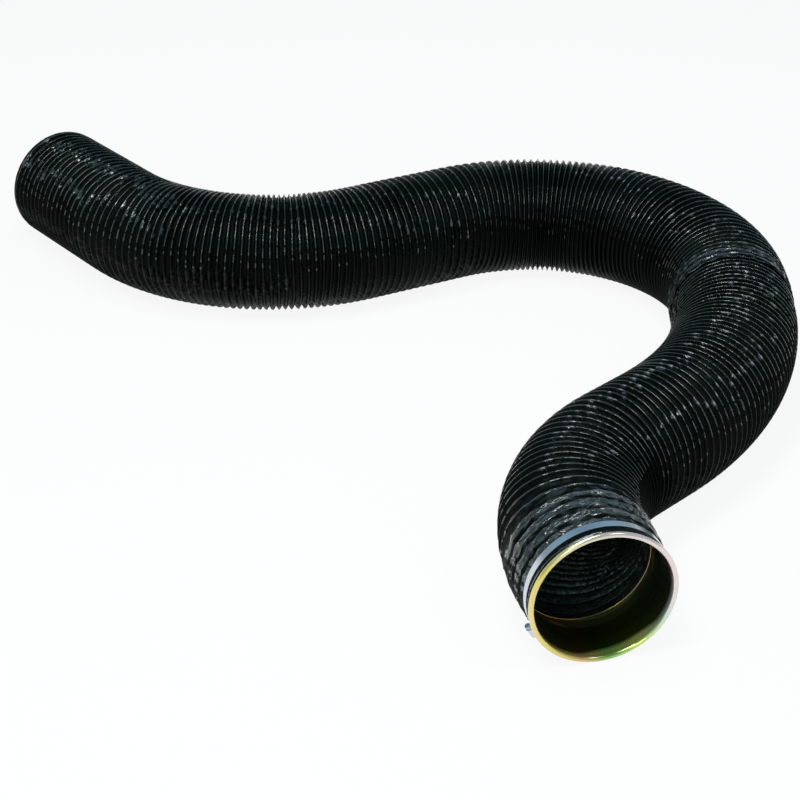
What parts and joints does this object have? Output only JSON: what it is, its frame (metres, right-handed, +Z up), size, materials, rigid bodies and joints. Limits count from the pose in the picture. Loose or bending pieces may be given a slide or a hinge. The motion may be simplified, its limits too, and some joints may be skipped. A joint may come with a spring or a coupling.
{
  "type": "flexible air duct",
  "caption": "Black wire-wound film air duct lying in an S, two lengths lapped together, with a rolled steel end collar held by a worm-drive band clamp.",
  "frame": {"origin": "centre of the collar's mouth, on the axis of its bore", "axes": "-Y out of the collar's mouth, +Y into the duct, +Z up from the floor that the duct lies on"},
  "size_m": [1.3243, 1.6177, 0.2133],
  "materials": {
    "yellow_zinc_steel": "sheet steel, zinc plated and yellow passivated, iridescent gold to green",
    "band_steel": "bright rolled steel strip",
    "screw_steel": "zinc plated turned steel",
    "black_film": "thin black coated film, glossy and crinkled",
    "spring_wire": "drawn spring steel wire, dark phosphated"
  },
  "bodies": {
    "collar_end": {"end_collar": "yellow_zinc_steel", "clamp_band": "band_steel", "clamp_housing": "band_steel", "cuff_film": "black_film", "cuff_wire": "spring_wire"},
    "worm": {"clamp_screw": "screw_steel"},
    "front_run": {"front_bend_film": "black_film", "front_bend_wire": "spring_wire", "front_run_film": "black_film", "front_run_wire": "spring_wire"},
    "lap": {"front_sweep_film": "black_film", "front_sweep_wire": "spring_wire", "front_tail_film": "black_film", "front_tail_wire": "spring_wire", "rear_mouth_film": "black_film"},
    "rear_run": {"main_bend_film": "black_film", "main_bend_wire": "spring_wire", "rear_run_film": "black_film", "rear_run_wire": "spring_wire"},
    "tail_run": {"tail_bend_film": "black_film", "tail_bend_wire": "spring_wire", "tail_run_film": "black_film", "tail_run_wire": "spring_wire"},
    "tail_end": {"tail_end_film": "black_film", "tail_end_wire": "spring_wire", "tail_hem": "black_film"}
  },
  "joints": [
    {"name": "clamp_turn", "type": "hinge", "parent": "collar_end", "child": "worm", "pos_m": [-0.09074, 0.029, -0.05893], "axis": [-0.5446, 0, 0.8387], "range_deg": [-1440, 360]},
    {"name": "front_bend", "type": "hinge", "parent": "collar_end", "child": "front_run", "pos_m": [0.03651, 0.23668, 0], "axis": [0, 0, 1], "range_deg": [-15, 59], "deforming": ["front_bend_film", "front_bend_wire"]},
    {"name": "front_sweep", "type": "hinge", "parent": "front_run", "child": "lap", "pos_m": [0.37887, 0.53308, 0], "axis": [0, 0, 1], "range_deg": [-42, 25], "deforming": ["front_sweep_film", "front_sweep_wire"]},
    {"name": "main_bend", "type": "hinge", "parent": "lap", "child": "rear_run", "pos_m": [0.42433, 1.1162, 0], "axis": [0, 0, 1], "range_deg": [-75, 15], "deforming": ["main_bend_film", "main_bend_wire"]},
    {"name": "tail_bend", "type": "hinge", "parent": "rear_run", "child": "tail_run", "pos_m": [-0.32957, 1.18598, 0], "axis": [0, 0, 1], "range_deg": [-15, 78], "deforming": ["tail_bend_film", "tail_bend_wire"]},
    {"name": "tail_stretch", "type": "slide", "parent": "tail_run", "child": "tail_end", "axis": [-0.4384, 0.8988, 0], "range_m": [-0.07, 0.06], "deforming": ["tail_end_film", "tail_end_wire"]}
  ]
}
